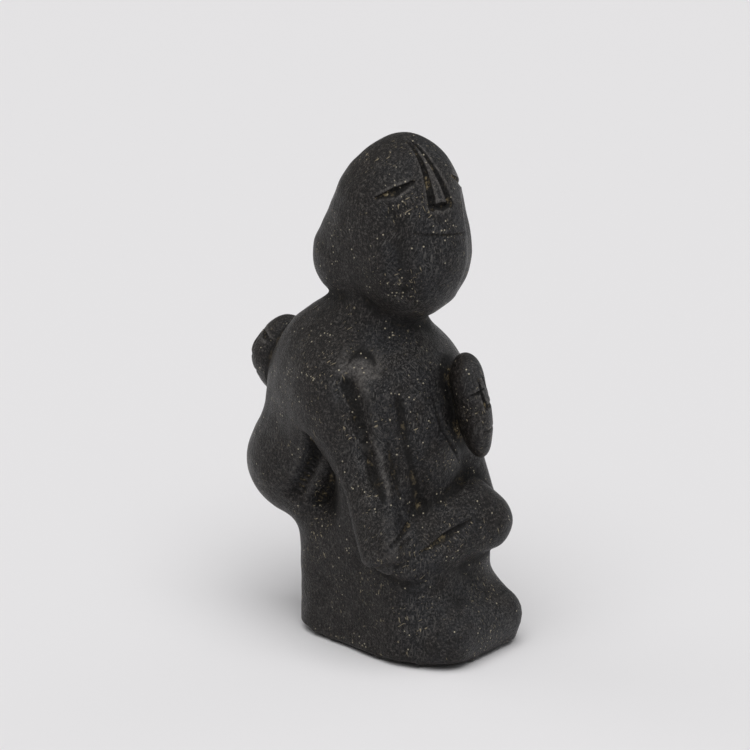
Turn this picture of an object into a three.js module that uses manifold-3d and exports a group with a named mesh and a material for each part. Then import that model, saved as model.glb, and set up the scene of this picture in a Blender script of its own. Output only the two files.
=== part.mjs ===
import * as THREE from "three";
import { mergeVertices } from "three/addons/utils/BufferGeometryUtils.js";
import Module from "manifold-3d";

// A carved stone figure: a kneeling mother in a hood, one child's head at her breast and another on her back.
// Lengths are millimetres and angles are degrees. +Z is up, she faces -Y, and the underside rests on z = 0.
// A form has its middle (at) and half its size along x, y and z (half), or the ends of its core (from, to)
// and a radius at each. blend is how widely it flows into the forms before it.

// The height of the whole piece. The forms are drawn for it and then brought to it together.
const HEIGHT = 204.8;

// Seat and trunk
const LEGS = { at: [-1.5, 5.5, 18], half: [26.3, 36.5, 41], edge: 16, turn: [0, 0, 4] };
const KNEES = { at: [5.3, -18.5, 7], half: [25.5, 21, 20], edge: 11, turn: [20, 0, 8], blend: 10 };
const TORSO = { at: [-4, 5, 80], half: [27, 29.5, 56], blend: 6 };
const SHOULDERS = { from: [-18, 12, 104], to: [8, 6, 111], radii: [20, 15], blend: 12 };
const NECK = { from: [-8, 24, 113], to: [-4, 8, 140], radii: [24, 17], blend: 6 };
const BACK = { at: [-11, 27, 96], half: [25, 35, 36], turn: [-8, 0, 0], blend: 10 };
const POUCH = { at: [-14.5, 46, 65.5], half: [22, 25, 22], turn: [12, 0, 0], blend: 14 };

// The underside: flat out to a radius, then climbing to a worn rim as the square of the way past it
const REST = { at: [7, 5], radius: 24, stretch: 1.18, climb: 200, depth: 40, rings: 4, sides: 32 };

// Arms
const RIGHT_SHOULDER = { at: [-21, 12, 100], half: [17, 21, 26], blend: 12 };
const RIGHT_ARM = {
  from: [-23, 4, 102],
  to: [-29.5, -20, 47],
  wide: [12, 8.5],
  thick: [8.5, 7.5],
  edge: 4,
  out: [-1, -0.35, 0],
  blend: 16,
};
const LEFT_SHOULDER = { at: [13.5, 6, 94], half: [16, 19, 23], blend: 12 };

// A form that is repeated inside another to lead out of it lies this deep in it
const BURIED = 1;
const LEFT_ARM = { from: [15, 4, 100], to: [22, -12, 56], radii: [14, 11], blend: 8 };
const FOREARM = { from: [-25, -19, 48], to: [12.5, -23, 57], radii: [8.5, 11.5] };
const HAND = { from: [-22, -24, 42], to: [16.8, -26, 51.5], radii: [6, 12] };

// Heads. yaw is how far the face is turned from straight ahead.
const HEAD = { at: [-2.5, -1, 168.5], half: [23.5, 25.5, 36.5], yaw: -6 };
const JAW = { at: [-0.5, -5.5, 158], half: [20.5, 20.8, 19.5], blend: 8 };
const HOOD = { from: [-5.5, 8.5, 176], to: [-8, 19, 155.5], radii: [17.5, 18.5], blend: 10 };
const CHILD = { at: [10, -26.8, 100], half: [7, 11, 20.5], turn: [-8, -9, -30], yaw: 13 };
const CHILD_CROWN = { at: [7, -26.2, 112], half: [6.2, 9.5, 9.5], turn: [0, 0, -30], blend: 3 };
const RIDER = { at: [-11, 61, 106], half: [12, 12.5, 17], turn: [14, 0, 0], yaw: 228 };
const RIDER_CHEEK = { at: [-15.5, 64, 106.5], half: [8.5, 8.5, 9], blend: 3 };

// Soft hollows: their two ends, the depth at each, and half their width. The ends are [y, z] from the side,
// [along, z] from the right front, or [round, up] on the mother's head. A depth below zero is a swelling.
const ARMPIT = { ends: [[13, 92], [21, 48]], depths: [8, 3], half: 13 };
const FOLD_BACK = { ends: [[16, 90], [34, 55]], depths: [3, 2.2], half: 4 };
const FOLD_FRONT = { ends: [[9.5, 84], [26, 54]], depths: [2.4, 1.6], half: 3.5 };
const ARM_DIP = { ends: [[-25, 118], [-14, 85]], depths: [3.4, 2.2], half: 7 };
const LOW_DIP = { ends: [[-16.5, 91.5], [-8.5, 60]], depths: [2.2, 1.6], half: 6 };
const BELLY_DIP = { ends: [[-5.5, 110], [5.5, 58]], depths: [0.8, 1.6], half: 6 };
const CHEST_RIDGE = { ends: [[-8.5, 112], [2, 58]], depths: [-1, -1], half: 4 };
const CHEEK = { ends: [[21, 18], [14.5, -26]], depths: [1.5, 1.8], half: 8 };
const RIGHT_FRONT = -42;

// The slice that leaves a lit flat at the top of the chest: a place on it and the way it faces
const FACET = { at: [-27.3, -3.8, 118.4], out: [-0.5, -0.52, 0.69], reach: 5, rise: 0.4, blend: 1 };

// The rocking of the tool over the whole stone
const RIPPLE = { depth: 0.1, lengths: [31, 23, 17] };

// Knife cuts: two ends, the depth, half the width left and right of the stroke, and how full they are at the
// start, middle and end. A nose is two cuts that part on the way down from its top, and a ledge at its foot.
const LENS = [0.35, 1, 0.35];
const DEEPENING = [0.35, 0.7, 1];
const EVEN = [0.7, 1, 0.7];
const MOTHER_FACE = {
  steps: 5,
  nose: { top: 34, foot: 13.2, lean: -2.6, wide: [0.6, 3.5], deep: 2.2, near: 1, far: 2.5 },
  eye: { inner: [11.8, 22.2], outer: [29, 15.8], deep: 2, upper: 1.1, lower: 2.9 },
  mouth: { ends: [[-12, 3.2], [11, 0.9]], deep: 0.6, half: 0.9 },
};
const CHILD_FACE = {
  steps: 3,
  nose: { top: 14, foot: 2.5, lean: -5.3, wide: [1.2, 3.6], deep: 1.3, near: 0.7, far: 1.6 },
  eye: { inner: [4.6, 9.5], outer: [9.8, 7.5], deep: 1.1, upper: 0.6, lower: 1.5 },
  mouth: { ends: [[-5, -7], [5, -7]], deep: 0.6, half: 0.9 },
};
const RIDER_FACE = {
  steps: 3,
  nose: { top: 9.5, foot: 1, lean: 0, wide: [0.8, 3], deep: 1.3, near: 0.7, far: 1.5 },
  eye: { inner: [0.5, 11.5], outer: [13, 8.5], deep: 1.8, upper: 0.8, lower: 2.2 },
  mouth: { ends: [[-5, -6], [5, -6]], deep: 0.6, half: 0.9 },
};
const FRONT_CUT_STEPS = 4;
const FRONT_CUTS = [
  { ends: [[-20, 48], [4, 57]], deep: 1.3, left: 1.6, right: 2.6, full: LENS },
  { ends: [[-33, 53.5], [-21, 58]], deep: 1.1, left: 1, right: 1.6, full: EVEN },
  { ends: [[-31, 51], [-24.3, 53.8]], deep: 0.8, left: 0.8, right: 1.2, full: LENS },
  { ends: [[-6, 106.5], [-3.5, 93]], deep: 0.8, left: 1.3, right: 1.3, full: DEEPENING },
  { ends: [[-3.5, 93], [9, 75]], deep: 0.8, left: 1.3, right: 1.3, full: LENS },
  { ends: [[-33.5, 107], [-30, 86]], deep: 0.9, left: 1.3, right: 1.6, full: DEEPENING },
  { ends: [[-30, 86], [-30.5, 63]], deep: 0.9, left: 1.6, right: 1.2, full: LENS },
];

// How each form is faceted: the spine that its rays fan out from, its columns and rows, and the share of the
// rows in which the fan turns over each end of the spine
const TRUNK_FAN = { from: [-5, 10, 132], to: [1, 6, 16], columns: 50, rows: 43, turn: 0.14 };
const HEAD_FAN = { from: [-3, 1, 178], to: [-3, 3, 156], columns: 34, rows: 27, turn: 0.36 };
const RIGHT_ARM_FAN = { from: [-22, 8, 108], to: [-29.5, -19, 48], columns: 20, rows: 18, turn: 0.2 };
const FOREARM_FAN = { ...FOREARM, columns: 16, rows: 12, turn: 0.25 };
const HAND_FAN = { ...HAND, columns: 16, rows: 12, turn: 0.25 };
const CHILD_FAN = { from: [8.3, -26.8, 108], to: [11.3, -27.1, 92], columns: 20, rows: 16, turn: 0.35 };
const RIDER_FAN = { from: [-11, 60, 110], to: [-11, 62, 102], columns: 18, rows: 14, turn: 0.4 };

// A ray starts this far out and closes in by this share of the gap, but no less than the least step
const REACH = 90;
const CLOSING = 0.7;
const LEAST_STEP = 0.05;
const TOUCHING = 0.01;

// A blade stands this far out of the surface, and looks this share ahead for its direction
const LIFT = 1.5;
const LOOK_AHEAD = 0.1;
const PROBE = 0.3;

const radians = THREE.MathUtils.degToRad;
const { clamp } = THREE.MathUtils;

// Basic forms. Each gives about how far a point is outside it.

// A point seen from a form's own middle and turn
function local(point, form) {
  const from = point.clone().sub(new THREE.Vector3(...form.at));
  if (!form.turn) return from;
  const euler = new THREE.Euler(...form.turn.map(radians), "ZYX");
  return from.applyQuaternion(new THREE.Quaternion().setFromEuler(euler).invert());
}

function ball(point, form) {
  const size = new THREE.Vector3(...form.half);
  const share = local(point, form).divide(size);
  const near = share.length();
  const slope = share.divide(size).length();
  return (near * (near - 1)) / Math.max(slope, 1e-9);
}

function block(point, form) {
  const at = local(point, form).toArray();
  const past = at.map((value, axis) => Math.abs(value) - form.half[axis] + form.edge);
  const outside = Math.hypot(...past.map((value) => Math.max(value, 0)));
  return outside + Math.min(Math.max(...past), 0) - form.edge;
}

function alongCore(point, form) {
  const from = new THREE.Vector3(...form.from);
  const core = new THREE.Vector3(...form.to).sub(from);
  const share = clamp(point.clone().sub(from).dot(core) / core.lengthSq(), 0, 1);
  return { core, share, off: point.clone().sub(from.addScaledVector(core, share)) };
}

function limb(point, form) {
  const { share, off } = alongCore(point, form);
  return off.length() - THREE.MathUtils.lerp(...form.radii, share);
}

// A limb with a flat outer side
function slab(point, form) {
  const { core, share, off } = alongCore(point, form);
  const along = core.normalize();
  const out = new THREE.Vector3(...form.out).normalize();
  out.addScaledVector(along, -out.dot(along)).normalize();
  const across = new THREE.Vector3().crossVectors(along, out);
  const thick = THREE.MathUtils.lerp(...form.thick, share);
  const wide = THREE.MathUtils.lerp(...form.wide, share);
  const past = [
    Math.abs(off.dot(across)) - wide + form.edge,
    Math.abs(off.dot(out)) - thick + form.edge,
    Math.abs(off.dot(along)),
  ];
  const outside = Math.hypot(...past.map((value) => Math.max(value, 0)));
  return outside + Math.min(Math.max(past[0], past[1]), 0) - form.edge;
}

function join(one, other, width) {
  const near = Math.max(width - Math.abs(one - other), 0);
  return Math.min(one, other) - (near * near) / (4 * width);
}

function smooth(share) {
  const t = clamp(share, 0, 1);
  return t * t * (3 - 2 * t);
}

// A hollow along a stroke in a plane, fading out sideways and at both ends
function hollow(u, v, form) {
  const [[au, av], [bu, bv]] = form.ends;
  const length = Math.hypot(bu - au, bv - av);
  const share = clamp(((u - au) * (bu - au) + (v - av) * (bv - av)) / (length * length), 0, 1);
  const off = Math.hypot(u - au - share * (bu - au), v - av - share * (bv - av));
  const ends = smooth((share * length) / form.half) * smooth(((1 - share) * length) / form.half);
  return smooth(1 - off / form.half) * ends * THREE.MathUtils.lerp(...form.depths, share);
}

// Where a point is on a head: the angle round from the middle of its face, and the height above its centre
function onHead(point, head) {
  const middle = radians(head.yaw);
  const x = point.x - head.at[0];
  const y = point.y - head.at[1];
  const across = x * Math.cos(middle) + y * Math.sin(middle);
  const ahead = x * Math.sin(middle) - y * Math.cos(middle);
  return { angle: Math.atan2(across, ahead), up: point.z - head.at[2] };
}

const headRadius = (head) => (head.half[0] + head.half[1]) / 2;

function ripple(point) {
  const [long, middle, short] = RIPPLE.lengths.map((length) => (2 * Math.PI) / length);
  const first = Math.sin(point.x * long + point.z * middle) * Math.sin(point.y * middle - point.z * short);
  const second = Math.sin(point.z * long + point.y * short) * Math.sin(point.x * short + point.y * long);
  return RIPPLE.depth * (first + second);
}

// What the tool did to every form near it, once the forms were roughed out: hollows and ripples
function finished(point, rough) {
  const { x, y, z } = point;
  const turn = radians(RIGHT_FRONT);
  const along = x * Math.cos(turn) + y * Math.sin(turn);
  const inFront = x * Math.sin(turn) > y * Math.cos(turn);
  let d = rough + ripple(point);
  if (x < LEGS.at[0]) d += hollow(y, z, FOLD_BACK) + hollow(y, z, FOLD_FRONT);
  if (!inFront) return d;
  return [ARM_DIP, LOW_DIP, BELLY_DIP, CHEST_RIDGE].reduce((sum, form) => sum + hollow(along, z, form), d);
}

function trunk(point) {
  let d = join(block(point, LEGS), block(point, KNEES), KNEES.blend);
  d = join(d, ball(point, TORSO), TORSO.blend);
  d = join(d, limb(point, SHOULDERS), SHOULDERS.blend);
  d = join(d, limb(point, NECK), NECK.blend);
  d = join(d, ball(point, RIGHT_SHOULDER), RIGHT_SHOULDER.blend);
  d = join(d, ball(point, LEFT_SHOULDER), LEFT_SHOULDER.blend);
  const load = join(ball(point, BACK), ball(point, POUCH), POUCH.blend);
  d = join(d, load, BACK.blend);
  d = join(d, limb(point, LEFT_ARM), LEFT_ARM.blend);
  if (point.x < LEGS.at[0]) d += hollow(point.y, point.z, ARMPIT);
  const slice = new THREE.Vector3(...FACET.out);
  const off = point.clone().sub(new THREE.Vector3(...FACET.at));
  const bentBack = FACET.rise * Math.max(off.length() - FACET.reach, 0);
  return -join(-d, bentBack - off.dot(slice) / slice.length(), FACET.blend);
}

function motherHead(point) {
  const { angle, up } = onHead(point, HEAD);
  const skull = join(ball(point, HEAD), ball(point, JAW), JAW.blend);
  const round = Math.abs(angle) * headRadius(HEAD);
  return join(skull, limb(point, HOOD), HOOD.blend) + hollow(round, up, CHEEK);
}

const rightArm = (point) =>
  join(ball(point, RIGHT_SHOULDER) + BURIED, slab(point, RIGHT_ARM), RIGHT_ARM.blend);
const childHead = (point) => join(ball(point, CHILD), ball(point, CHILD_CROWN), CHILD_CROWN.blend);
const riderHead = (point) => join(ball(point, RIDER), ball(point, RIDER_CHEEK), RIDER_CHEEK.blend);

// Each form with its fan, in the order in which they are joined
const FORMS = [
  [trunk, TRUNK_FAN],
  [rightArm, RIGHT_ARM_FAN],
  [(point) => limb(point, FOREARM), FOREARM_FAN],
  [(point) => limb(point, HAND), HAND_FAN],
  [motherHead, HEAD_FAN],
  [childHead, CHILD_FAN],
  [riderHead, RIDER_FAN],
];

const stone = (point) => finished(point, Math.min(...FORMS.map(([form]) => form(point))));

// The first point where a way in from start meets a surface
function touch(surface, start, direction) {
  const point = start.clone();
  let gap = surface(point);
  for (let gone = 0; gap > TOUCHING && gone < 2 * REACH; ) {
    const step = Math.max(gap * CLOSING, LEAST_STEP);
    point.addScaledVector(direction, step);
    gone += step;
    gap = surface(point);
  }
  return point;
}

const wasm = await Module();
wasm.setup();

// A blank with only its places, each shared by the faces round it
function bare(blank) {
  blank.deleteAttribute("normal");
  blank.deleteAttribute("uv");
  return mergeVertices(blank);
}

function solidOf(geometry) {
  const vertProperties = geometry.getAttribute("position").array;
  const triVerts = new Uint32Array(geometry.index.array);
  return new wasm.Manifold(new wasm.Mesh({ numProp: 3, vertProperties, triVerts }));
}

// A sphere whose points come in along the fan until they touch the form
function carved(form, fan) {
  const blank = bare(new THREE.SphereGeometry(1, fan.columns, fan.rows));
  const place = blank.getAttribute("position");
  const top = new THREE.Vector3(...fan.from);
  const foot = new THREE.Vector3(...fan.to);
  const pole = top.clone().sub(foot).normalize();
  const upright = new THREE.Quaternion().setFromUnitVectors(new THREE.Vector3(0, 1, 0), pole);
  const surface = (point) => finished(point, form(point));
  for (let i = 0; i < place.count; i++) {
    const onSphere = new THREE.Vector3().fromBufferAttribute(place, i);
    const share = Math.acos(clamp(onSphere.y, -1, 1)) / Math.PI;
    const nearEnd = Math.min(share, 1 - share, fan.turn) / fan.turn;
    const rise = (Math.sign(0.5 - share) * (1 - nearEnd) * Math.PI) / 2;
    const round = Math.atan2(onSphere.z, onSphere.x);
    const level = Math.cos(rise);
    const ray = new THREE.Vector3(level * Math.cos(round), Math.sin(rise), level * Math.sin(round));
    ray.applyQuaternion(upright);
    const along = clamp((share - fan.turn) / (1 - 2 * fan.turn), 0, 1);
    const start = top.clone().lerp(foot, along).addScaledVector(ray, REACH);
    const found = touch(surface, start, ray.negate());
    place.setXYZ(i, found.x, found.y, found.z);
  }
  return solidOf(blank);
}

// What is ground away under the stone: a dish that is flat in the middle and climbs outwards
function ground() {
  const rim = Array.from({ length: REST.rings + 1 }, (_, i) => {
    const past = (i / REST.rings) * REST.depth;
    return new THREE.Vector2(REST.radius + past, past ** 2 / REST.climb);
  });
  const profile = [
    new THREE.Vector2(0, -REST.depth),
    new THREE.Vector2(REST.radius + REST.depth, -REST.depth),
    ...rim.reverse(),
    new THREE.Vector2(0, 0),
  ];
  const dish = new THREE.LatheGeometry(profile, REST.sides);
  dish.rotateX(Math.PI / 2);
  dish.scale(1, REST.stretch, 1);
  dish.translate(...REST.at, 0);
  return solidOf(bare(dish));
}

function outward(point) {
  const normal = new THREE.Vector3();
  for (const step of [[1, -1, -1], [-1, -1, 1], [-1, 1, -1], [1, 1, 1]]) {
    const side = new THREE.Vector3(...step);
    normal.addScaledVector(side, stone(point.clone().addScaledVector(side, PROBE)));
  }
  return normal.normalize();
}

// Ways in towards the stone: straight on to a face, square to the side of a head, and straight from the front
function facing(head) {
  const middle = radians(head.yaw);
  const ahead = new THREE.Vector3(Math.sin(middle), -Math.cos(middle), 0);
  const sideways = new THREE.Vector3(Math.cos(middle), Math.sin(middle), 0);
  return (across, up) => {
    const start = new THREE.Vector3(...head.at).addScaledVector(sideways, across);
    start.addScaledVector(ahead, REACH).z += up;
    return [start, ahead.clone().negate()];
  };
}

function around(head) {
  return (round, up) => {
    const turned = radians(head.yaw) + round / headRadius(head);
    const ahead = new THREE.Vector3(Math.sin(turned), -Math.cos(turned), 0);
    const start = new THREE.Vector3(...head.at).addScaledVector(ahead, REACH);
    start.z += up;
    return [start, ahead.negate()];
  };
}

const fromFront = (x, z) => [new THREE.Vector3(x, -REACH, z), new THREE.Vector3(0, 1, 0)];

// A blade along a knife cut. Its section is a V whose tip is as deep as the cut.
function blade({ ends: [[au, av], [bu, bv]], deep, left, right, full }, wayIn, steps) {
  const blank = bare(new THREE.CylinderGeometry(1, 1, 1, 4, steps));
  const place = blank.getAttribute("position");
  const at = (share) => {
    const [u, v] = [THREE.MathUtils.lerp(au, bu, share), THREE.MathUtils.lerp(av, bv, share)];
    return touch(stone, ...wayIn(u, v));
  };
  for (let i = 0; i < place.count; i++) {
    const share = 0.5 - place.getY(i);
    const point = at(share);
    const normal = outward(point);
    const ahead = at(share + LOOK_AHEAD).sub(at(share - LOOK_AHEAD));
    const leftward = new THREE.Vector3().crossVectors(normal, ahead).normalize();
    const half = share < 0.5 ? 0 : 1;
    const fullness = THREE.MathUtils.lerp(full[half], full[half + 1], 2 * share - half);
    const spread = fullness + LIFT / deep;
    // The corners go round the stroke: tip, left edge, top and right edge. A cap's middle is at none of them.
    const side = Math.round(place.getZ(i));
    const height = Math.round(place.getX(i));
    point.addScaledVector(normal, height > 0 ? -deep * fullness : LIFT);
    if (side > 0) point.addScaledVector(leftward, left * spread);
    if (side < 0) point.addScaledVector(leftward, -right * spread);
    place.setXYZ(i, point.x, point.y, point.z);
  }
  return solidOf(blank);
}

function faceBlades(head, { steps, nose, eye, mouth }) {
  const straight = facing(head);
  const round = around(head);
  const [wideTop, wideFoot] = nose.wide;
  const mirrored = ([across, up]) => [-across, up];
  const side = { deep: nose.deep, full: DEEPENING };
  const lid = { deep: eye.deep, left: eye.upper, right: eye.lower, full: LENS };
  const noseLeft = [[nose.lean - wideTop, nose.top], [-wideFoot, nose.foot]];
  const noseRight = [[nose.lean + wideTop, nose.top], [wideFoot, nose.foot]];
  const ledge = [[-wideFoot, nose.foot], [wideFoot, nose.foot]];
  return [
    blade({ ...side, ends: noseLeft, left: nose.near, right: nose.far }, straight, steps),
    blade({ ...side, ends: noseRight, left: nose.far, right: nose.near }, straight, steps),
    blade({ ...side, ends: ledge, left: nose.near, right: nose.far, full: EVEN }, straight, steps),
    blade({ ...lid, ends: [mirrored(eye.outer), mirrored(eye.inner)] }, round, steps),
    blade({ ...lid, ends: [eye.inner, eye.outer] }, round, steps),
    blade({ ...mouth, left: mouth.half, right: mouth.half, full: EVEN }, round, steps),
  ];
}

const blades = [
  ...faceBlades(HEAD, MOTHER_FACE),
  ...faceBlades(CHILD, CHILD_FACE),
  ...faceBlades(RIDER, RIDER_FACE),
  ...FRONT_CUTS.map((cut) => blade(cut, fromFront, FRONT_CUT_STEPS)),
];
const rough = FORMS.map(([form, fan]) => carved(form, fan)).reduce((whole, piece) => whole.add(piece));
const solid = blades.reduce((whole, cut) => whole.subtract(cut), rough.subtract(ground()));
const mesh = solid.getMesh();
const geometry = new THREE.BufferGeometry();
geometry.setAttribute("position", new THREE.BufferAttribute(mesh.vertProperties, 3));
geometry.setIndex(new THREE.BufferAttribute(mesh.triVerts, 1));
geometry.computeBoundingBox();
const { min, max } = geometry.boundingBox;
geometry.scale(...[1, 1, 1].map((one) => (one * HEIGHT) / (max.z - min.z)));
geometry.computeVertexNormals();

const blackStone = new THREE.MeshStandardMaterial({ color: 0x2b2928, roughness: 0.55, metalness: 0 });
const figure = new THREE.Mesh(geometry, blackStone);
figure.name = "stone_family";

const root = new THREE.Group();
root.add(figure);
export default root;
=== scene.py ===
"""A black stone figure of a mother with two children, carved with a knife and set on a pale floor.

The stone is one surface. Each form is a grid of points that close in on it, the grids are made one solid, and
every point then settles on the finished stone, with its fillets, knife cuts and tool marks.
Lengths are millimetres until the finished points are written. The frame is the solids' own: +Z up, and the
mother faces -Y.
"""

import bpy
import numpy as np
from mathutils import Matrix, Vector


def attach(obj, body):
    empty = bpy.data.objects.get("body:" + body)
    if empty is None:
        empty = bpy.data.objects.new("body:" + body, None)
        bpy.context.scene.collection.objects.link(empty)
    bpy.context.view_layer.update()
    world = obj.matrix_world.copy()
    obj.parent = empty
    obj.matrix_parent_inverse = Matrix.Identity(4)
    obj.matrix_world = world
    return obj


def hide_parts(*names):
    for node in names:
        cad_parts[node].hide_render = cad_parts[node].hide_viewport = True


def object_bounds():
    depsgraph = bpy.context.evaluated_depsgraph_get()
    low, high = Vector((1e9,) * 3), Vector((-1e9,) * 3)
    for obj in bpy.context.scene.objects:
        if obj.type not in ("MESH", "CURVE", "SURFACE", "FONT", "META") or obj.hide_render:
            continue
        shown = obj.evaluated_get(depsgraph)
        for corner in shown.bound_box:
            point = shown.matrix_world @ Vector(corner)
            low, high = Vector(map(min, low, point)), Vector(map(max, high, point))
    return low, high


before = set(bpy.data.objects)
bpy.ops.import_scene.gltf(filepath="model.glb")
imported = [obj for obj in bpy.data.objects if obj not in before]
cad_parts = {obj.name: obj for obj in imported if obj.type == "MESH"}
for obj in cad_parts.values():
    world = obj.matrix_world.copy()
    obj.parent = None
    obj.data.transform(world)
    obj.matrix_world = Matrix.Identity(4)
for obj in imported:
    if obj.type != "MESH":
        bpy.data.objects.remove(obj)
solid_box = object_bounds()

MILLIMETRE = 0.001

# Seat and trunk. A form has its middle (at) and half its size (half), or the two ends of its core and a
# radius at each. blend is how widely it flows into the forms before it.
LEGS = dict(at=(-1.5, 5.5, 18), half=(26.3, 36.5, 41), edge=16, turn=(0, 0, 4))
KNEES = dict(at=(5.3, -18.5, 7), half=(25.5, 21, 20), edge=11, turn=(20, 0, 8), blend=10)
TORSO = dict(at=(-4, 5, 80), half=(27, 29.5, 56), blend=6)
SHOULDERS = dict(start=(-18, 12, 104), end=(8, 6, 111), radii=(20, 15), blend=12)
NECK = dict(start=(-8, 24, 113), end=(-4, 8, 140), radii=(24, 17), blend=6)
BACK = dict(at=(-11, 27, 96), half=(25, 35, 36), turn=(-8, 0, 0), blend=10)
POUCH = dict(at=(-14.5, 46, 65.5), half=(22, 25, 22), turn=(12, 0, 0), blend=14)
REST = dict(at=(7, 5), radius=24, stretch=1.18, climb=200)

# Arms. sunk is how far the right shoulder lies under the arm that flows out of it.
RIGHT_SHOULDER = dict(at=(-21, 12, 100), half=(17, 21, 26), blend=12)
RIGHT_ARM = dict(start=(-23, 4, 102), end=(-29.5, -20, 47), wide=(12, 8.5), thick=(8.5, 7.5), edge=4,
                 out=(-1, -0.35, 0), blend=16, sunk=1)
ARM_BLEND = 3
LEFT_SHOULDER = dict(at=(13.5, 6, 94), half=(16, 19, 23), blend=12)
LEFT_ARM = dict(start=(15, 4, 100), end=(22, -12, 56), radii=(14, 11), blend=8)
FOREARM = dict(start=(-25, -19, 48), end=(12.5, -23, 57), radii=(8.5, 11.5), blend=4)
HAND = dict(start=(-22, -24, 42), end=(16.8, -26, 51.5), radii=(6, 12), blend=3)

# Heads. yaw is how far a face is turned from straight ahead.
HEAD = dict(at=(-2.5, -1, 168.5), half=(23.5, 25.5, 36.5), yaw=-6, blend=3)
JAW = dict(at=(-0.5, -5.5, 158), half=(20.5, 20.8, 19.5), blend=8)
HOOD = dict(start=(-5.5, 8.5, 176), end=(-8, 19, 155.5), radii=(17.5, 18.5), blend=10)
CHILD = dict(at=(10, -26.8, 100), half=(7, 11, 20.5), turn=(-8, -9, -30), yaw=13, blend=2)
CHILD_CROWN = dict(at=(7, -26.2, 112), half=(6.2, 9.5, 9.5), turn=(0, 0, -30), blend=3)
RIDER = dict(at=(-11, 61, 106), half=(12, 12.5, 17), turn=(14, 0, 0), yaw=228, blend=2)
RIDER_CHEEK = dict(at=(-15.5, 64, 106.5), half=(8.5, 8.5, 9), blend=3)

# Soft hollows: their two ends, the depth at each, and half their width. The chest's ridge is one that stands
# proud. RIGHT_FRONT is the way, in degrees, along which the hollows of the right front are laid out.
ARMPIT = dict(ends=((13, 92), (21, 48)), depths=(8, 3), half=13)
FOLD_BACK = dict(ends=((16, 90), (34, 55)), depths=(3, 2.2), half=4)
FOLD_FRONT = dict(ends=((9.5, 84), (26, 54)), depths=(2.4, 1.6), half=3.5)
ARM_DIP = dict(ends=((-25, 118), (-14, 85)), depths=(3.4, 2.2), half=7)
LOW_DIP = dict(ends=((-16.5, 91.5), (-8.5, 60)), depths=(2.2, 1.6), half=6)
BELLY_DIP = dict(ends=((-5.5, 110), (5.5, 58)), depths=(0.8, 1.6), half=6)
CHEST_RIDGE = dict(ends=((-8.5, 112), (2, 58)), depths=(-1, -1), half=4)
CHEEK = dict(ends=((21, 18), (14.5, -26)), depths=(1.5, 1.8), half=8)
RIGHT_FRONT = -42

# The flat worn on the chest below the shoulder: a plane that climbs away past its reach
FACET = dict(at=(-27.3, -3.8, 118.4), out=(-0.5, -0.52, 0.69), reach=5, rise=0.4, blend=1)

# Rocking of the tool over the whole stone, and the small unevenness that a hand leaves
RIPPLE = dict(depth=0.10, lengths=(31, 23, 17))
UNEVEN = ((9.0, 0.12), (3.1, 0.05))

# Knife cuts: two ends, the depth, half the width on each side, and how full they are along their length.
# A cut's bottom is rounded over TIP.
TIP = 0.2
LENS, DEEPENING, EVEN = (0.35, 1, 0.35), (0.35, 0.7, 1), (0.7, 1, 0.7)
MOTHER_FACE = dict(
    nose=dict(top=34, foot=13.2, lean=-2.6, wide=(0.6, 3.5), deep=2.2, near=1, far=2.5),
    eye=dict(inner=(11.8, 22.2), outer=(29, 15.8), deep=2, upper=1.1, lower=2.9),
    mouth=dict(ends=((-12, 3.2), (11, 0.9)), deep=0.6, half=0.9))
CHILD_FACE = dict(
    nose=dict(top=14, foot=2.5, lean=-5.3, wide=(1.2, 3.6), deep=1.3, near=0.7, far=1.6),
    eye=dict(inner=(4.6, 9.5), outer=(9.8, 7.5), deep=1.1, upper=0.6, lower=1.5),
    mouth=dict(ends=((-5, -7), (5, -7)), deep=0.6, half=0.9))
RIDER_FACE = dict(
    nose=dict(top=9.5, foot=1, lean=0, wide=(0.8, 3), deep=1.3, near=0.7, far=1.5),
    eye=dict(inner=(0.5, 11.5), outer=(13, 8.5), deep=1.8, upper=0.8, lower=2.2),
    mouth=dict(ends=((-5, -6), (5, -6)), deep=0.6, half=0.9))
FRONT_CUTS = (
    dict(ends=((-20, 48), (4, 57)), deep=1.3, left=1.6, right=2.6, full=LENS),
    dict(ends=((-33, 53.5), (-21, 58)), deep=1.1, left=1, right=1.6, full=EVEN),
    dict(ends=((-31, 51), (-24.3, 53.8)), deep=0.8, left=0.8, right=1.2, full=LENS),
    dict(ends=((-6, 106.5), (-3.5, 93)), deep=0.8, left=1.3, right=1.3, full=DEEPENING),
    dict(ends=((-3.5, 93), (9, 75)), deep=0.8, left=1.3, right=1.3, full=LENS),
    dict(ends=((-33.5, 107), (-30, 86)), deep=0.9, left=1.3, right=1.6, full=DEEPENING),
    dict(ends=((-30, 86), (-30.5, 63)), deep=0.9, left=1.6, right=1.2, full=LENS),
)

# Each form's grid: the spine that its rays fan out from, columns round it and rows along it, the share of the
# rows that turns over each end, the way that the first column faces, and how far the columns crowd there.
# finer is where the rows crowd too, over how wide a share of them, and how much.
TRUNK_FAN = dict(start=(-5, 10, 132), end=(1, 6, 16), columns=210, rows=170, turn=0.14,
                 face=(-0.7, -0.7, 0), crowd=0.25)
HEAD_FAN = dict(start=(-3, 1, 178), end=(-3, 3, 156), columns=230, rows=180, turn=0.36,
                face=(-0.2, -1, 0), crowd=0.45, finer=(0.27, 0.12, 2.2))
RIGHT_ARM_FAN = dict(start=(-22, 8, 108), end=(-29.5, -19, 48), columns=110, rows=100, turn=0.2,
                     face=(-1, -0.4, 0), crowd=0)
FOREARM_FAN = dict(start=(-25, -19, 48), end=(12.5, -23, 57), columns=90, rows=90, turn=0.25,
                   face=(0, -1, 0), crowd=0.2)
HAND_FAN = dict(start=(-22, -24, 42), end=(16.8, -26, 51.5), columns=56, rows=64, turn=0.25,
                face=(0, -1, 0), crowd=0.2)
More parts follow.
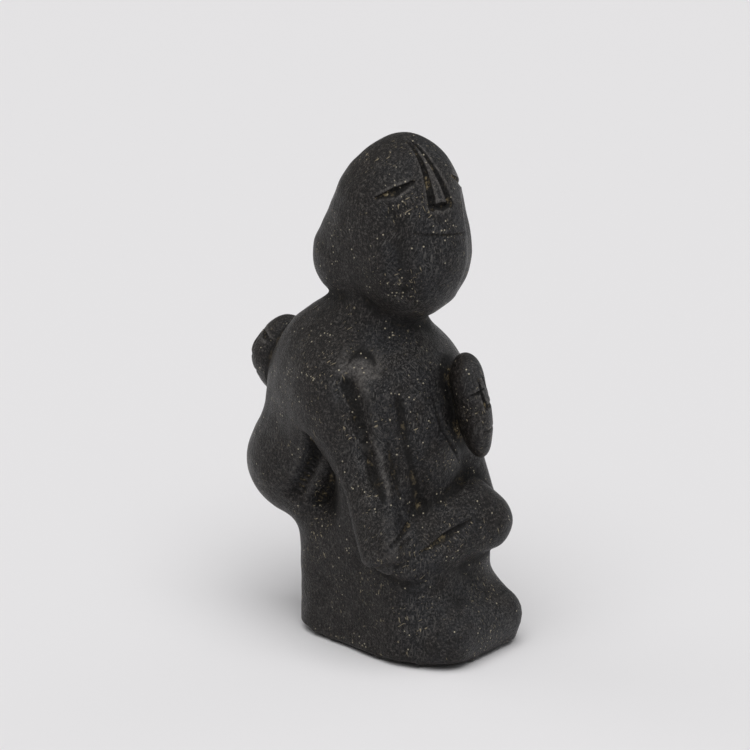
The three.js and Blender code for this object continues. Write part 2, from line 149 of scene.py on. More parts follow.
CHILD_FAN = dict(start=(8.3, -26.8, 108), end=(11.3, -27.1, 92), columns=110, rows=96, turn=0.35,
                 face=(0, -1, 0), crowd=0.4)
RIDER_FAN = dict(start=(-11, 60, 110), end=(-11, 62, 102), columns=70, rows=60, turn=0.4,
                 face=(0, 1, 0), crowd=0.2)

# How the rays close in: from how far out, in how many steps, and by which share of the gap each time
REACH, CLOSING_STEPS, CLOSING_SHARE = 90, 60, 0.7

# How often the points of a grid drift to the middle of their neighbours
RELAXING = 30

# A grid that runs into another form sinks under it by this share of the way in, and at most this deep
SINKING, DEEPEST = 0.5, 1.5

# Slopes are measured between points this far off, and more closely for the normals. A slope counts as at
# least GENTLEST when a point moves along it.
PROBE, NORMAL_PROBE, GENTLEST = 0.25, 0.2, 0.2
PROBE_WAYS = ((1, -1, -1), (-1, -1, 1), (-1, 1, -1), (1, 1, 1))

# A face's normal stays its own where it agrees less than this with the stone's
SHARP = 0.75

# The marks: how far off the stone is felt for bend and valley, the way that was scraped most and how soon
# that is full, and how strongly the facet takes the painted highlight of an edge, over how wide a spot
BEND_REACH, VALLEY_REACH = 1.6, 4
SCRAPED_WAY, SCRAPED_GAIN = (0.1, -1, 0.15), 1.6
FACET_HIGHLIGHT, FACET_SPOT = 0.4, 8

# How far the finished stone stays inside the solid's box
INSET = 0.02


def vector(values):
    """The values as single-precision numbers."""
    return np.array(values, np.float32)


def unit(v):
    """The vector at length 1."""
    return v / np.linalg.norm(v)


def length(v):
    """The length of each row."""
    return np.sqrt((v * v).sum(1))


def turn_matrix(turn):
    """The turn about X, then Y, then Z, as one matrix."""
    (cx, cy, cz), (sx, sy, sz) = np.cos(np.radians(turn)), np.sin(np.radians(turn))
    about_x = np.array([[1, 0, 0], [0, cx, -sx], [0, sx, cx]])
    about_y = np.array([[cy, 0, sy], [0, 1, 0], [-sy, 0, cy]])
    about_z = np.array([[cz, -sz, 0], [sz, cz, 0], [0, 0, 1]])
    return about_z @ about_y @ about_x


def local(p, form):
    """Points as seen from a form's middle, turned back by its turn."""
    return ((p - vector(form["at"])) @ turn_matrix(form.get("turn", (0, 0, 0)))).astype(np.float32)


def ball(p, form):
    """How far p is outside an ellipsoid: k(k - 1) / |p / half²|, where k = |p / half|."""
    share = local(p, form) / vector(form["half"])
    near = length(share)
    return near * (near - 1) / np.maximum(length(share / vector(form["half"])), 1e-9)


def block(p, form):
    """How far p is outside a box with rounded edges: the length past the inner box, less the edge."""
    past = np.abs(local(p, form)) - vector(form["half"]) + form["edge"]
    return length(np.maximum(past, 0)) + np.minimum(past.max(1), 0) - form["edge"]


def along_core(p, form):
    """A form's core, the share of the way along it that is nearest to p, and the way from there to p."""
    start, end = vector(form["start"]), vector(form["end"])
    core = end - start
    share = np.clip((p - start) @ core / (core @ core), 0, 1)
    return core, share, p - start - share[:, None] * core


def between(pair, share):
    """The value at a share of the way from the first of a pair to the second."""
    return pair[0] + (pair[1] - pair[0]) * share


def limb(p, form):
    """How far p is outside a rounded rod: the distance to its core less the radius there."""
    _, share, off = along_core(p, form)
    return length(off) - between(form["radii"], share)


def slab(p, form):
    """A limb with a flat outer side: a rounded rectangle across the core, of its own width and thickness."""
    core, share, off = along_core(p, form)
    along = unit(core)
    out = vector(form["out"])
    out = unit(out - (out @ along) * along)
    past = np.stack([np.abs(off @ np.cross(along, out)) - between(form["wide"], share) + form["edge"],
                     np.abs(off @ out) - between(form["thick"], share) + form["edge"],
                     np.abs(off @ along)], 1)
    return length(np.maximum(past, 0)) + np.minimum(past[:, :2].max(1), 0) - form["edge"]


def join(one, other, width):
    """The nearer of two forms, with a fillet: min(a, b) - max(w - |a - b|, 0)² / 4w."""
    near = np.maximum(width - np.abs(one - other), 0)
    return np.minimum(one, other) - near * near / (4 * width)


def smooth(share):
    """A smooth step: t²(3 - 2t), with the share kept within 0 and 1."""
    t = np.clip(share, 0, 1)
    return t * t * (3 - 2 * t)


def stroke(u, v, ends):
    """Where (u, v) is beside a stroke: the share of the way along, the distance off, the side, the length."""
    (au, av), (bu, bv) = ends
    du, dv = bu - au, bv - av
    share = np.clip(((u - au) * du + (v - av) * dv) / (du * du + dv * dv), 0, 1)
    off = np.hypot(u - au - share * du, v - av - share * dv)
    return share, off, du * (v - av) - dv * (u - au), np.hypot(du, dv)


def hollow(u, v, form):
    """A soft trough: its depth times a smooth fall from the stroke to half its width, and to both ends."""
    share, off, _, long = stroke(u, v, form["ends"])
    fade = smooth(share * long / form["half"]) * smooth((1 - share) * long / form["half"])
    return smooth(1 - off / form["half"]) * fade * between(form["depths"], share)


def cut(u, v, form):
    """A V-shaped cut: depth times (fullness - distance off the stroke / half the width on that side).

    It isn't below 0. The distance is taken as √(off² + tip²) - tip, which rounds the bottom of the V.
    """
    share, off, side, _ = stroke(u, v, form["ends"])
    full = np.interp(share, (0, 0.5, 1), form["full"])
    half = np.where(side > 0, form["left"], form["right"])
    off = np.sqrt(off * off + TIP * TIP) - TIP
    return form["deep"] * np.maximum(full - off / half, 0)


def on_head(p, head):
    """A point as the carver of a face sees it: across and ahead of the middle, the way round, the height."""
    middle = np.radians(head["yaw"])
    radius = (head["half"][0] + head["half"][1]) / 2
    x, y = p[:, 0] - head["at"][0], p[:, 1] - head["at"][1]
    across = x * np.cos(middle) + y * np.sin(middle)
    ahead = x * np.sin(middle) - y * np.cos(middle)
    return across, ahead, np.arctan2(across, ahead) * radius, p[:, 2] - head["at"][2]


def face_cuts(p, head, face):
    """The deepest of a face's cuts at p: two that part down the nose, a ledge below, two eyes and a mouth."""
    across, ahead, way_round, up = on_head(p, head)
    nose, eye, mouth = face["nose"], face["eye"], face["mouth"]
    narrow, broad = nose["wide"]
    left_side = ((nose["lean"] - narrow, nose["top"]), (-broad, nose["foot"]))
    right_side = ((nose["lean"] + narrow, nose["top"]), (broad, nose["foot"]))
    ledge = ((-broad, nose["foot"]), (broad, nose["foot"]))
    side = dict(deep=nose["deep"], full=DEEPENING)
    lid = dict(deep=eye["deep"], left=eye["upper"], right=eye["lower"], full=LENS)
    other_eye = [(-a, b) for a, b in (eye["outer"], eye["inner"])]
    cuts = [
        cut(across, up, dict(side, ends=left_side, left=nose["near"], right=nose["far"])),
        cut(across, up, dict(side, ends=right_side, left=nose["far"], right=nose["near"])),
        cut(across, up, dict(side, ends=ledge, left=nose["near"], right=nose["far"], full=EVEN)),
        cut(way_round, up, dict(lid, ends=other_eye)),
        cut(way_round, up, dict(lid, ends=(eye["inner"], eye["outer"]))),
        cut(way_round, up, dict(mouth, left=mouth["half"], right=mouth["half"], full=EVEN)),
    ]
    return np.maximum.reduce(cuts) * (ahead > 0)


def ripple(p):
    """Two products of sines whose waves cross."""
    long, middle, short = (2 * np.pi / n for n in RIPPLE["lengths"])
    x, y, z = p.T
    first = np.sin(x * long + z * middle) * np.sin(y * middle - z * short)
    second = np.sin(z * long + y * short) * np.sin(x * short + y * long)
    return RIPPLE["depth"] * (first + second)


# Chance values from -1 to 1, always the same ones
CHANCE = np.random.default_rng(7).random(4096).astype(np.float32) * 2 - 1


def lattice_noise(p, size):
    """Chance values on a lattice of cells of this size, blended smoothly between a cell's eight corners."""
    place = p / np.float32(size) + 64
    cell = np.floor(place).astype(np.int64)
    t = place - cell
    t = t * t * (3 - 2 * t)
    total = np.zeros(len(p), np.float32)
    for corner in ((0, 0, 0), (1, 0, 0), (0, 1, 0), (1, 1, 0), (0, 0, 1), (1, 0, 1), (0, 1, 1), (1, 1, 1)):
        at = cell + corner
        key = (at[:, 0] * 73 + at[:, 1] * 179 + at[:, 2] * 283) ^ (at[:, 0] * at[:, 1] + 31 * at[:, 2])
        weight = np.prod(np.where(corner, t, 1 - t), axis=1)
        total += CHANCE[key % len(CHANCE)] * weight
    return total


def trunk(p):
    """Seat, knees, chest, shoulders, neck, load and left arm joined, less the armpit and the flat."""
    d = join(block(p, LEGS), block(p, KNEES), KNEES["blend"])
    d = join(d, ball(p, TORSO), TORSO["blend"])
    d = join(d, limb(p, SHOULDERS), SHOULDERS["blend"])
    d = join(d, limb(p, NECK), NECK["blend"])
    d = join(d, ball(p, RIGHT_SHOULDER), RIGHT_SHOULDER["blend"])
    d = join(d, ball(p, LEFT_SHOULDER), LEFT_SHOULDER["blend"])
    load = join(ball(p, BACK), ball(p, POUCH), POUCH["blend"])
    d = join(d, load, BACK["blend"])
    d = join(d, limb(p, LEFT_ARM), LEFT_ARM["blend"])
    d = d + hollow(p[:, 1], p[:, 2], ARMPIT) * (p[:, 0] < LEGS["at"][0])
    out = vector(FACET["out"])
    off = p - vector(FACET["at"])
    above = off @ unit(out) - FACET["rise"] * np.maximum(length(off) - FACET["reach"], 0)
    return -join(-d, -above, FACET["blend"])


def right_arm(p):
    """The flat-sided arm, flowing out of the shoulder."""
    return join(ball(p, RIGHT_SHOULDER) + RIGHT_ARM["sunk"], slab(p, RIGHT_ARM), RIGHT_ARM["blend"])


def forearm(p):
    """The forearm's rod."""
    return limb(p, FOREARM)


def hand(p):
    """The hand's rod."""
    return limb(p, HAND)


def mother_head(p):
    """Head, jaw and hood, joined with fillets, less a hollow down each cheek."""
    _, _, way_round, up = on_head(p, HEAD)
    d = join(ball(p, HEAD), ball(p, JAW), JAW["blend"])
    return join(d, limb(p, HOOD), HOOD["blend"]) + hollow(np.abs(way_round), up, CHEEK)


def child_head(p):
    """The front child's head with its crown."""
    return join(ball(p, CHILD), ball(p, CHILD_CROWN), CHILD_CROWN["blend"])


def rider_head(p):
    """The back child's head with its cheek."""
    return join(ball(p, RIDER), ball(p, RIDER_CHEEK), RIDER_CHEEK["blend"])


FORMS = ((trunk, TRUNK_FAN), (right_arm, RIGHT_ARM_FAN), (forearm, FOREARM_FAN), (hand, HAND_FAN),
         (mother_head, HEAD_FAN), (child_head, CHILD_FAN), (rider_head, RIDER_FAN))
FACES = ((mother_head, HEAD, MOTHER_FACE), (child_head, CHILD, CHILD_FACE), (rider_head, RIDER, RIDER_FACE))


def knife_cuts(p):
    """How deep the knife went at p. A face's cuts fade from 2 to 4 off its head."""
    d = np.zeros(len(p), np.float32)
    for form, head, face in FACES:
        near = np.nonzero(length(p - vector(head["at"])) < 1.4 * max(head["half"]))[0]
        on_form = np.clip((4 - np.abs(form(p[near]))) / 2, 0, 1)
        d[near] = np.maximum(d[near], face_cuts(p[near], head, face) * on_form)
    front = np.maximum.reduce([cut(p[:, 0], p[:, 2], form) for form in FRONT_CUTS])
    return np.maximum(d, front * (p[:, 1] < 0))


def worked(p):
    """What the tool took away over the roughed-out forms: hollows, ripples, cuts and small unevenness."""
    x, y, z = p.T
    turn = np.radians(RIGHT_FRONT)
    along = x * np.cos(turn) + y * np.sin(turn)
    in_front = x * np.sin(turn) > y * np.cos(turn)
    d = (hollow(y, z, FOLD_BACK) + hollow(y, z, FOLD_FRONT)) * (x < LEGS["at"][0])
    d = d + sum(hollow(along, z, form) for form in (ARM_DIP, LOW_DIP, BELLY_DIP, CHEST_RIDGE)) * in_front
    for size, depth in UNEVEN:
        d = d + depth * lattice_noise(p, size)
    return d + ripple(p) + knife_cuts(p)


def under(p):
    """The ground-off underside: flat out to a radius, then climbing as the square of the way past it."""
    past = np.hypot(p[:, 0] - REST["at"][0], (p[:, 1] - REST["at"][1]) / REST["stretch"]) - REST["radius"]
    return np.maximum(past, 0) ** 2 / REST["climb"] - p[:, 2]


def stone(p):
    """How far p is outside the finished stone: the forms joined, worked over, and ground off below."""
    p = p.astype(np.float32)
    d = join(trunk(p), right_arm(p), ARM_BLEND)
    d = join(d, forearm(p), FOREARM["blend"])
    d = join(d, hand(p), HAND["blend"])
    d = join(d, mother_head(p), HEAD["blend"])
    d = join(d, child_head(p), CHILD["blend"])
    d = join(d, rider_head(p), RIDER["blend"]) + worked(p)
    return np.maximum(d, under(p))


def slope(p, surface, probe=PROBE):
    """The way straight out of a surface at p, from four tries round it."""
    return sum(way * surface(p + way * probe)[:, None] for way in vector(PROBE_WAYS)) / (4 * probe)


def settle(p, level, times, most=1.0):
    """Moves points along the slope until they are at a level: p - (stone(p) - level) slope / |slope|²."""
    for _ in range(times):
        way = slope(p, stone)
        steep = np.maximum((way * way).sum(1), GENTLEST)
        p = p - way * np.clip((stone(p) - level) / steep, -most, most)[:, None]
    return p


def fan_grid(form, fan):
    """A closed grid over one form.

    v runs from one end of a spine to the other and u runs round it. The ray at (u, v) starts on the spine at
    the share (v - turn) / (1 - 2 turn) of its length, and rises to straight up or down within turn of an end.
    Its point closes in from far out by a share of the gap until it touches the form. The points then drift to
    the middle of their neighbours while they stay on the form, so that no cell is left stretched.
    """
    rows, columns, turn = fan["rows"], fan["columns"], fan["turn"]
    top, foot = vector(fan["start"]), vector(fan["end"])
    middle, spread, extra = fan.get("finer", (0.5, 1, 0))
    even = np.linspace(0, 1, 2001)
    crowding = np.cumsum(1 + extra * np.exp(-((even - middle) / spread) ** 2))
    crowding = (crowding - crowding[0]) / (crowding[-1] - crowding[0])
    v = np.interp(np.linspace(0, 1, rows + 1), crowding, even)
    v, u = np.meshgrid(v, np.arange(columns) / columns, indexing="ij")
    near_end = np.minimum(np.minimum(v, 1 - v), turn) / turn
    rise = (np.sign(0.5 - v) * (1 - near_end) * np.pi / 2)[..., None]
    about = (2 * np.pi * u - fan["crowd"] * np.sin(2 * np.pi * u))[..., None]
    pole = unit(top - foot)
    ahead = vector(fan["face"])
    ahead = unit(ahead - (ahead @ pole) * pole)
    aside = np.cross(pole, ahead)
    ray = np.cos(rise) * (np.cos(about) * ahead + np.sin(about) * aside) + np.sin(rise) * pole
    along = np.clip((v - turn) / (1 - 2 * turn), 0, 1)[..., None]
    ray = ray.reshape(-1, 3).astype(np.float32)

    def surface(p):
        return np.maximum(form(p), under(p))

    p = (top + (foot - top) * along).reshape(-1, 3).astype(np.float32) + REACH * ray
    for _ in range(CLOSING_STEPS):
        p = p - ray * (CLOSING_SHARE * surface(p))[:, None]
    for _ in range(RELAXING):
        net = p.reshape(rows + 1, columns, 3)
        middle = (net[:-2] + net[2:] + np.roll(net[1:-1], 1, 1) + np.roll(net[1:-1], -1, 1)) / 4
        p = np.concatenate([net[:1], (net[1:-1] + middle) / 2, net[-1:]]).reshape(-1, 3)
        way = slope(p, surface)
        p = p - way * (surface(p) / np.maximum((way * way).sum(1), GENTLEST))[:, None]
    return p.reshape(rows + 1, columns, 3)


def finished_grid(form, fan):
    """The form's grid on the finished stone. Where it runs into another form it sinks under it."""
    net = fan_grid(form, fan)
    p = net.reshape(-1, 3)
    others = np.minimum.reduce([other(p) for other, _ in FORMS if other is not form])
    level = np.clip(SINKING * others, -DEEPEST, 0)
    free = others > -2 * DEEPEST
    p[free] = settle(p[free], level[free], 4)
    return p.reshape(net.shape)


def closed_mesh(name, net):
    """A grid as a closed mesh: its end rows are one point each, and its last column meets the first."""
    rows, columns = net.shape[0] - 1, net.shape[1]
    places = np.concatenate([net[0, :1], net[1:-1].reshape(-1, 3), net[-1, :1]])
    ring = np.arange((rows - 1) * columns).reshape(rows - 1, columns) + 1
    beside = np.roll(ring, -1, 1)
    quads = np.stack([ring[:-1], ring[1:], beside[1:], beside[:-1]], -1).reshape(-1, 4)
    last = len(places) - 1
    first_cap = np.stack([np.zeros_like(ring[0]), ring[0], beside[0]], -1)
    last_cap = np.stack([np.full_like(ring[-1], last), beside[-1], ring[-1]], -1)
    corners = places[quads]
    inward = np.cross(corners[:, 2] - corners[:, 0], corners[:, 3] - corners[:, 1])
    if (inward * (corners.mean(1) - places.mean(0))).sum() < 0:
        quads, first_cap, last_cap = quads[:, ::-1], first_cap[:, ::-1], last_cap[:, ::-1]
    mesh = bpy.data.meshes.new(name)
    mesh.from_pydata(places.tolist(), [], quads.tolist() + first_cap.tolist() + last_cap.tolist())
    return mesh


def one_solid(name, nets):
    """The grids made one closed solid."""
    whole = None
    for net in nets:
        blank = bpy.data.objects.new("blank", closed_mesh("blank", net))
        bpy.context.scene.collection.objects.link(blank)
        if whole is None:
            whole = blank
            continue
        joined = whole.modifiers.new("join", "BOOLEAN")
        joined.operation, joined.solver, joined.object = "UNION", "MANIFOLD", blank
        depsgraph = bpy.context.evaluated_depsgraph_get()
        mesh = bpy.data.meshes.new_from_object(whole.evaluated_get(depsgraph))
        bpy.data.objects.remove(blank)
        whole.modifiers.clear()
        whole.data = mesh
    whole.name = name
    whole.data.name = name
    return whole


def corner_normals(mesh, out):
    """The normal at each corner of each face: the stone's own, or the face's where they part at an edge."""
    corners = np.empty(len(mesh.loops), np.int32)
    mesh.loops.foreach_get("vertex_index", corners)
    sides = np.empty(len(mesh.polygons), np.int32)
    mesh.polygons.foreach_get("loop_total", sides)
    flat = np.empty(len(mesh.polygons) * 3, np.float32)
    mesh.polygons.foreach_get("normal", flat)
    flat = np.repeat(flat.reshape(-1, 3), sides, axis=0)
    normals = out[corners]
    sharp = (normals * flat).sum(1) < SHARP
    normals[sharp] = flat[sharp]
    return normals


nets = [finished_grid(form, fan) for form, fan in FORMS]
figure = one_solid("stone_family_carving", nets)
mesh = figure.data

places = np.empty(len(mesh.vertices) * 3, np.float32)
mesh.vertices.foreach_get("co", places)
places = settle(places.reshape(-1, 3), 0, 2, 0.4)
out = slope(places, stone, NORMAL_PROBE)
out /= np.maximum(np.linalg.norm(out, axis=1), 1e-6)[:, None]

# Marks that the finish follows: how deep the knife went, how hollow or how proud the stone is close by (bend)
# and farther round (valley), and how far it faces the front, where it was scraped most. The facet takes the
# painted highlight of an edge.
ROUND_ABOUT = vector([[1, 0, 0], [-1, 0, 0], [0, 1, 0], [0, -1, 0], [0, 0, 1], [0, 0, -1]])
bend, valley = (sum(stone(places + way * reach) for way in ROUND_ABOUT) / len(ROUND_ABOUT)
                for reach in (BEND_REACH, VALLEY_REACH))
front = np.clip(out @ unit(vector(SCRAPED_WAY)) * SCRAPED_GAIN, 0, 1)
# The facet gets the edges' painted highlight
bend += FACET_HIGHLIGHT * np.exp(-(length(places - vector(FACET["at"])) / FACET_SPOT) ** 2)
marks = {"knife": knife_cuts(places), "bend": bend, "valley": valley, "front": front}

# The finished stone goes into the solid's own box
low, high = (np.array(corner) / MILLIMETRE for corner in solid_box)
own_low, own_high = places.min(0), places.max(0)
places = (low + INSET) + (places - own_low) * ((high - low - 2 * INSET) / (own_high - own_low))

mesh.vertices.foreach_set("co", (places * MILLIMETRE).astype(np.float32).ravel())
for name, values in marks.items():
    mesh.attributes.new(name, "FLOAT", "POINT").data.foreach_set("value", values.astype(np.float32))
mesh.update()
mesh.polygons.foreach_set("use_smooth", np.ones(len(mesh.polygons), bool))
mesh.normals_split_custom_set(corner_normals(mesh, out).tolist())

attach(figure, "root")
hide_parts("stone_family")


# Colours of the stone: polished brown-black, scraped grey-black, its light and dark grains, grey scratches,
# pale ones, edges paler with rubbed wear and a painted highlight, painted shade in cuts and valleys, a
# painted highlight on rounded tops, dust and specks
POLISHED = (0.0115, 0.0085, 0.0068, 1)
SCRAPED = (0.0160, 0.0165, 0.0190, 1)
LIGHT_GRAIN = (0.085, 0.078, 0.072, 1)
DARK_GRAIN = (0.0010, 0.0008, 0.0007, 1)
GREY_SCRATCH = (0.130, 0.124, 0.118, 1)
PALE_SCRATCH = (0.33, 0.28, 0.19, 1)
# Paler edges: rubbed wear with a painted highlight
WEAR_AND_HIGHLIGHT = (0.140, 0.130, 0.122, 1)
SHADED = (0.0020, 0.0015, 0.0011, 1)
# Rounded tops: a painted highlight
TOP_HIGHLIGHT = (0.060, 0.057, 0.056, 1)
DUST = (0.26, 0.205, 0.115, 1)
SPECK = (0.50, 0.45, 0.34, 1)

# Noises: their scale, detail and roughness
CLOUDY = (60, 5, 0.62)
GRAIN = (1000, 3, 0.75)
BROKEN = (700, 3, 0.7)
UNDULATING = (330, 4, 0.6)
STROKE = (1, 1, 0.5)
PATCH_DETAIL = (3, 0.6)

# Scratches: the turn of the strokes, how many cells a metre has across and along them, the noise level above
# which there is one, and the patches that they keep to: their scale and the levels where they begin and are
# full
FINE_SCRATCHES = (
    dict(turn=(0.12, 0.08, 0), across=1900, along=200, least=0.61, patch=(55, 0.42, 0.60)),
    dict(turn=(0, 0.65, -0.73), across=1900, along=190, least=0.61, patch=(48, 0.52, 0.64)),
    dict(turn=(0, -0.8, -0.73), across=1900, along=190, least=0.62, patch=(42, 0.53, 0.64)),
)
LONG_SCRATCHES = (
    dict(turn=(0, 1.1, -0.73), across=1400, along=260, least=0.69, patch=(75, 0.50, 0.60)),
    dict(turn=(0, -0.3, -0.73), across=1300, along=220, least=0.69, patch=(75, 0.50, 0.60)),
)
STROKE_EDGE = 0.04

# Patches that keep dust, and those where the specks crowd: the scale and the levels, as above
DUST_PATCH = (130, 0.48, 0.61)
SPECK_PATCH = (90, 0.56, 0.64)

# Specks: cells a metre, the distances from a cell's middle where one ends and is full, and the share of the
# cells that have one, in a crowd and elsewhere
SPECKS = dict(cells=640, edge=(0.26, 0.12), crowded=0.6, elsewhere=0.04)


class Nodes:
    """A short way to write a node tree."""

    def __init__(self, tree):
        self.tree = tree

    def add(self, kind, inputs=None, **settings):
        node = self.tree.nodes.new(kind)
        for key, value in settings.items():
            setattr(node, key, value)
        for key, value in (inputs or {}).items():
            if isinstance(value, bpy.types.NodeSocket):
                self.tree.links.new(value, node.inputs[key])
            else:
                node.inputs[key].default_value = value
        return node

    def attribute(self, name):
        return self.add("ShaderNodeAttribute", attribute_name=name).outputs["Fac"]

    def noise(self, where, scale, detail, rough):
        inputs = {"Vector": where, "Scale": scale, "Detail": detail, "Roughness": rough}
        return self.add("ShaderNodeTexNoise", inputs).outputs["Fac"]

    def ramp(self, value, low, high, to_low=0.0, to_high=1.0):
        inputs = {"Value": value, "From Min": low, "From Max": high, "To Min": to_low, "To Max": to_high}
        return self.add("ShaderNodeMapRange", inputs, interpolation_type="SMOOTHSTEP").outputs["Result"]

    def math(self, operation, one, other):
        return self.add("ShaderNodeMath", {0: one, 1: other}, operation=operation).outputs[0]

    def plus(self, one, other):
        return self.math("ADD", one, other)

    def minus(self, one, other):
        return self.math("SUBTRACT", one, other)

    def times(self, one, other):
        return self.math("MULTIPLY", one, other)

    def greatest(self, *values):
        whole = values[0]
        for value in values[1:]:
            whole = self.math("MAXIMUM", whole, value)
        return whole

    def mix(self, share, one, other):
        """One colour changed to another by a share. Inputs 6 and 7 and output 2 are those for colours."""
        return self.add("ShaderNodeMix", {0: share, 6: one, 7: other}, data_type="RGBA").outputs[2]

    def tint(self, mask, strength, colour, over):
        """A colour laid over another where the mask is, at most by the strength."""
        return self.mix(self.times(mask, strength), over, colour)


def black_stone():
    """Satin black stone: polished brown-black, greyer where scratched, dust in the cuts, and pale specks."""
    material = bpy.data.materials.new("black_stone")
    material.use_nodes = True
    tree = material.node_tree
    tree.nodes.clear()
    n = Nodes(tree)
    where = n.add("ShaderNodeTexCoord").outputs["Object"]
    knife, bend, valley, front = (n.attribute(name) for name in ("knife", "bend", "valley", "front"))

    def patches(scale, begin, full):
        """Patches with soft edges."""
        return n.ramp(n.noise(where, scale, *PATCH_DETAIL), begin, full)

    def scratches(turn, across, along, least, patch):
        """Short thin strokes in patches: noise drawn out along one way, where it is above a level."""
        cell = {"Vector": where, "Rotation": turn, "Scale": (1 / across, 1 / across, 1 / along)}
        place = n.add("ShaderNodeMapping", cell, vector_type="TEXTURE").outputs[0]
        return n.times(n.ramp(n.noise(place, *STROKE), least, least + STROKE_EDGE), patches(*patch))

    cloudy = n.noise(where, *CLOUDY)
    grain = n.noise(where, *GRAIN)
    scraped = n.times(n.ramp(cloudy, 0.36, 0.60, 0.2, 1), front)
    colour = n.mix(scraped, POLISHED, SCRAPED)
    colour = n.mix(n.ramp(grain, 0.53, 0.66, 0, 0.8), colour, LIGHT_GRAIN)
    colour = n.mix(n.ramp(grain, 0.50, 0.41), colour, DARK_GRAIN)

    # Scratches: fine grey ones that cross, more of them in front, and fewer pale ones
    fine = n.greatest(*[scratches(**kind) for kind in FINE_SCRATCHES])
    scratched = n.times(fine, n.plus(n.times(front, 0.6), 0.4))
    pale = n.greatest(*[scratches(**kind) for kind in LONG_SCRATCHES])
    colour = n.tint(scratched, 0.60, GREY_SCRATCH, colour)
    colour = n.tint(pale, 0.9, PALE_SCRATCH, colour)

    # Edges paler with rubbed wear and a painted highlight, painted shade darkening cuts and valleys, a
    # painted highlight on rounded tops, and dust where the stone is hollow and in the deeper cuts
    broken = n.ramp(n.noise(where, *BROKEN), 0.44, 0.60)
    rubbed_and_lit = n.times(n.ramp(bend, 0.07, 0.34), n.plus(n.times(broken, 0.7), 0.3))
    deep = n.greatest(n.ramp(knife, 0.1, 0.6), n.ramp(valley, 0.05, -0.45))
    # Rounded proud forms made lighter: a painted highlight
    proud_highlight = n.times(n.ramp(valley, 0.25, 0.55), n.ramp(cloudy, 0.40, 0.55))
    dusty = n.times(n.greatest(n.ramp(knife, 0.4, 1.2), n.ramp(bend, -0.05, -0.3)), broken)
    dusty = n.times(dusty, patches(*DUST_PATCH))
    colour = n.tint(rubbed_and_lit, 0.7, WEAR_AND_HIGHLIGHT, colour)
    colour = n.tint(deep, 0.75, SHADED, colour)
    colour = n.tint(proud_highlight, 0.08, TOP_HIGHLIGHT, colour)
    colour = n.tint(dusty, 0.85, DUST, colour)

    # Specks: pale grains, a few all over and more in crowds
    cells = n.add("ShaderNodeTexVoronoi", {"Vector": where, "Scale": SPECKS["cells"], "Randomness": 1.0})
    near = n.ramp(cells.outputs["Distance"], *SPECKS["edge"])
    chosen = n.add("ShaderNodeSeparateColor", {"Color": cells.outputs["Color"]}).outputs["Red"]
    share = n.greatest(n.times(patches(*SPECK_PATCH), SPECKS["crowded"]), SPECKS["elsewhere"])
    colour = n.tint(n.times(near, n.math("LESS_THAN", chosen, share)), 0.9, SPECK, colour)

    rough = n.ramp(cloudy, 0.3, 0.7, 0.33, 0.45)
    rough = n.plus(rough, n.times(scratched, 0.14))
    rough = n.plus(rough, n.times(n.greatest(dusty, deep), 0.3))

    relief = n.minus(n.times(grain, 1.6), n.times(scratched, 0.4))
    relief = n.plus(n.minus(relief, n.times(pale, 0.6)), n.noise(where, *UNDULATING))
    bump = n.add("ShaderNodeBump", {"Height": relief, "Strength": 1.0, "Distance": 0.00045}).outputs[0]

    shader = n.add("ShaderNodeBsdfPrincipled", {"Base Color": colour, "Roughness": rough, "Normal": bump})
    shader.inputs["IOR"].default_value = 1.45
    shader.inputs["Specular IOR Level"].default_value = 0.3
    n.add("ShaderNodeOutputMaterial", {"Surface": shader.outputs[0]})
    return material


mesh.materials.clear()
mesh.materials.append(black_stone())

# Floor: one round pale sheet, in metres
FLOOR_RADIUS = 6.0
FLOOR_SIDES = 96
FLOOR_COLOUR = (0.80, 0.79, 0.80, 1)
FLOOR_ROUGHNESS = 0.9


def round_floor():
    """A disc: its rim is at (r cos t, r sin t, 0)."""
    t = np.linspace(0, 2 * np.pi, FLOOR_SIDES, endpoint=False)
    rim = FLOOR_RADIUS * np.stack([np.cos(t), np.sin(t), 0 * t], 1)
    mesh = bpy.data.meshes.new("floor")
    mesh.from_pydata(rim.tolist(), [], [list(range(FLOOR_SIDES))])
    return bpy.data.objects.new("floor", mesh)


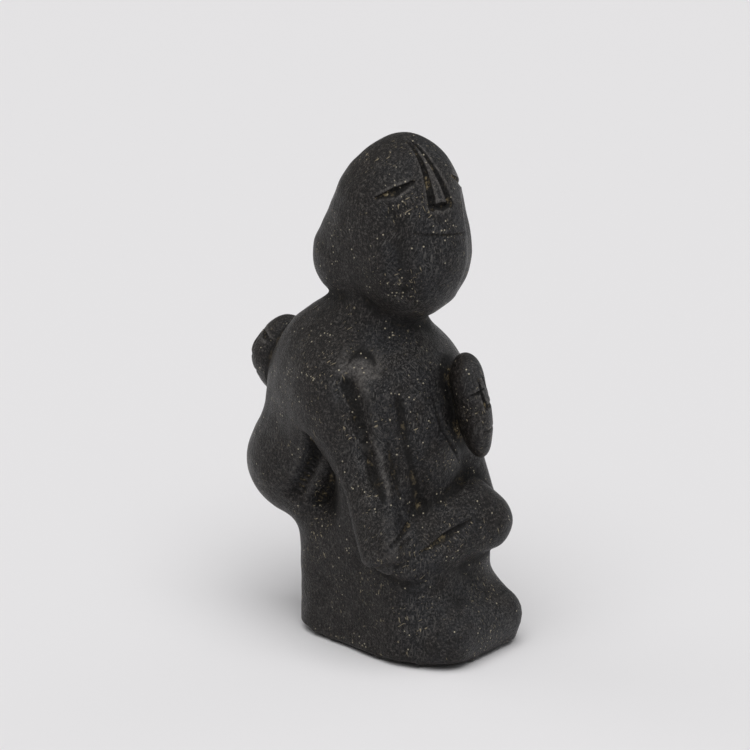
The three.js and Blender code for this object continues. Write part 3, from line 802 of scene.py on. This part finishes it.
# Camera: the photograph's direction, distance in metres, and scale where the stone stands
AZIMUTH, ELEVATION = np.radians(-42), np.radians(17)
DISTANCE = 1.1
SENSOR_WIDTH = 36
PIXELS_PER_METRE = 2500
FRAME_PIXELS = 750
FOOT_PIXEL = (408, 635)
right = np.array([np.cos(AZIMUTH), np.sin(AZIMUTH), 0])
level_back = np.array([np.sin(AZIMUTH), -np.cos(AZIMUTH), 0])
back = level_back * np.cos(ELEVATION) + np.array([0, 0, np.sin(ELEVATION)])
up = np.cross(back, right)
middle = FRAME_PIXELS / 2
target = (right * (middle - FOOT_PIXEL[0]) + up * (FOOT_PIXEL[1] - middle)) / PIXELS_PER_METRE
camera_data = bpy.data.cameras.new("camera")
camera_data.sensor_width = SENSOR_WIDTH
camera_data.lens = SENSOR_WIDTH * PIXELS_PER_METRE * DISTANCE / FRAME_PIXELS
camera = bpy.data.objects.new("camera", camera_data)
aim = Matrix(np.stack([right, up, back], 1).tolist()).to_4x4()
camera.matrix_world = Matrix.Translation(Vector(target + back * DISTANCE)) @ aim
bpy.context.scene.collection.objects.link(camera)
bpy.context.scene.camera = camera

floor = round_floor()
bpy.context.scene.collection.objects.link(floor)
paper = bpy.data.materials.new("pale_paper")
paper.use_nodes = True
paper_inputs = paper.node_tree.nodes["Principled BSDF"].inputs
paper_inputs["Base Color"].default_value = FLOOR_COLOUR
paper_inputs["Roughness"].default_value = FLOOR_ROUGHNESS
floor.data.materials.append(paper)


def daylight(name, way, spread, power):
    """An even light that lights the floor the same everywhere.

    way says where it comes from: rightwards as the camera sees it, up, and back towards the camera. spread is
    how wide the light is, in degrees.
    """
    toward = unit(way[0] * right + way[1] * np.array([0, 0, 1]) + way[2] * back)
    data = bpy.data.lights.new(name, "SUN")
    data.angle, data.energy = np.radians(spread), power
    light = bpy.data.objects.new(name, data)
    light.rotation_mode = "QUATERNION"
    light.rotation_quaternion = Vector(toward).to_track_quat("Z", "Y")
    bpy.context.scene.collection.objects.link(light)


daylight("ceiling", (0, 1, 0.45), 60, 2.3)
daylight("left", (-1, 0.9, -0.5), 40, 0.25)
daylight("right", (1, 0.6, -0.9), 40, 0.15)
daylight("front", (0.3, 0.8, 1), 40, 0.2)

# The white room all round
ROOM_STRENGTH = 0.20
world = bpy.data.worlds.new("studio")
world.use_nodes = True
world.node_tree.nodes["Background"].inputs["Color"].default_value = (1, 1, 1, 1)
world.node_tree.nodes["Background"].inputs["Strength"].default_value = ROOM_STRENGTH
bpy.context.scene.world = world
bpy.context.scene.view_settings.view_transform = "Standard"
